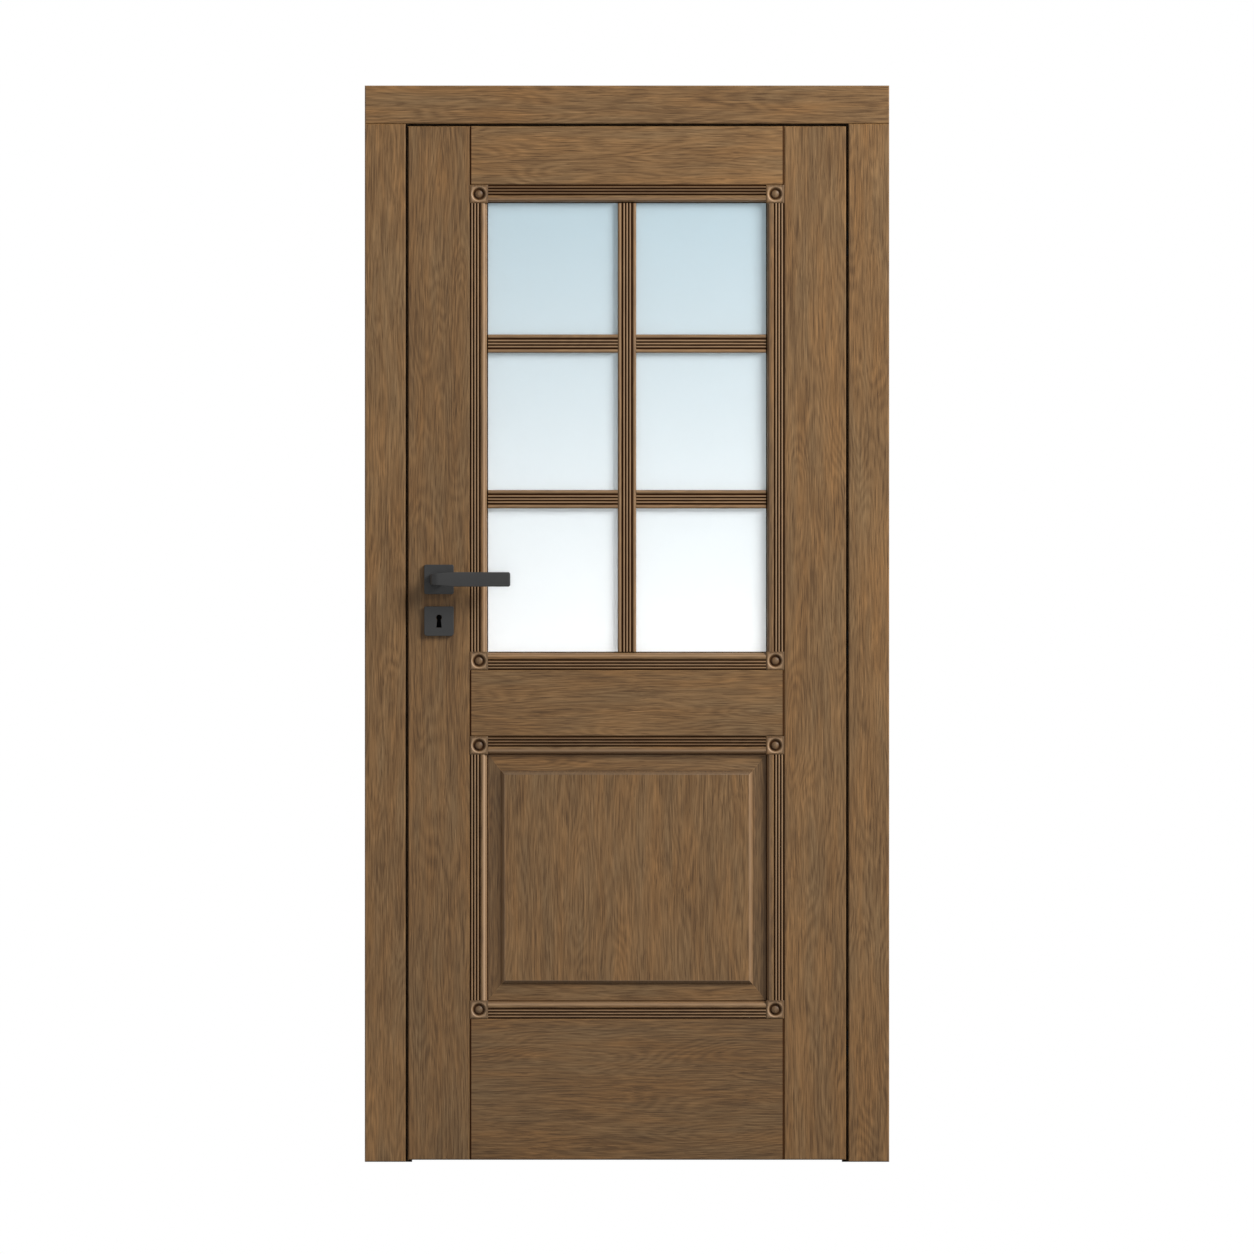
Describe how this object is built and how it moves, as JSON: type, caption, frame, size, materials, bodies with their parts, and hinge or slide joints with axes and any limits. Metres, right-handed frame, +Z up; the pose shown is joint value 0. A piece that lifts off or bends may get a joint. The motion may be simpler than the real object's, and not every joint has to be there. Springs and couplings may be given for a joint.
{
  "type": "glazed interior door with frame",
  "caption": "Framed interior door: stile and rail leaf with a barred glazed opening over a raised panel, reeded mouldings with corner rosettes, flat casings and black lever handles.",
  "frame": {"origin": "floor level at the front arris of the hinge jamb's wall face, in the plane of the wall's front surface", "axes": "+X out of the hinge jamb into the wall, to the right as the front is faced; +Y through the wall, away from the viewer; +Z up"},
  "size_m": [1.03, 0.179, 2.114],
  "materials": {
    "stained_oak": "brown stained oak veneer, satin lacquer",
    "satin_glass": "float glass, satin etched",
    "black_metal": "matt black powder coat",
    "satin_steel": "satin",
    "lock_steel": "black oxide",
    "hinge_metal": "matt black coat",
    "seal_rubber": "matt"
  },
  "bodies": {
    "frame": {"hinge_jamb": "stained_oak", "latch_jamb": "stained_oak", "head_jamb": "stained_oak", "front_hinge_casing": "stained_oak", "front_latch_casing": "stained_oak", "front_head_casing": "stained_oak", "rear_hinge_casing": "stained_oak", "rear_latch_casing": "stained_oak", "rear_head_casing": "stained_oak", "frame_seal": "seal_rubber", "strike_plate": "satin_steel", "frame_hinge_cups": "hinge_metal"},
    "leaf": {"hinge_stile": "stained_oak", "latch_stile": "stained_oak", "top_rail": "stained_oak", "lock_rail": "stained_oak", "bottom_rail": "stained_oak", "glass_pane": "satin_glass", "raised_panel": "stained_oak", "leaf_hinge_cups": "hinge_metal", "lock_case": "lock_steel", "lock_forend": "satin_steel", "lock_bolts": "satin_steel", "front_glazing_mouldings": "stained_oak", "front_panel_mouldings": "stained_oak", "front_glazing_rosettes": "stained_oak", "front_panel_rosettes": "stained_oak", "front_upright_bar": "stained_oak", "front_crossbars": "stained_oak", "front_handle_rose": "black_metal", "front_escutcheon": "black_metal", "rear_glazing_mouldings": "stained_oak", "rear_panel_mouldings": "stained_oak", "rear_glazing_rosettes": "stained_oak", "rear_panel_rosettes": "stained_oak", "rear_upright_bar": "stained_oak", "rear_crossbars": "stained_oak", "rear_handle_rose": "black_metal", "rear_escutcheon": "black_metal"},
    "handle": {"front_lever": "black_metal", "rear_lever": "black_metal", "spindle": "lock_steel"},
    "hinge_links": {"hinge_arms": "hinge_metal"}
  },
  "joints": [
    {"name": "door_swing", "type": "hinge", "parent": "frame", "child": "leaf", "pos_m": [-0.0385, -0.016, 0], "axis": [0, 0, 1], "range_deg": [0, 110]},
    {"name": "hinge_arm_swing", "type": "hinge", "parent": "frame", "child": "hinge_links", "pos_m": [-0.0385, -0.016, 0], "axis": [0, 0, 1], "range_deg": [0, 55]},
    {"name": "lever_turn", "type": "hinge", "parent": "leaf", "child": "handle", "pos_m": [-0.8403, 0.008, 1.144], "axis": [0, 1, 0], "range_deg": [0, 45], "stiffness_Nm_per_rad": 1.5, "springref_deg": -34.38}
  ],
  "couplings": [
    {"joint": "hinge_arm_swing", "follows": "door_swing", "ratio": 0.5}
  ]
}
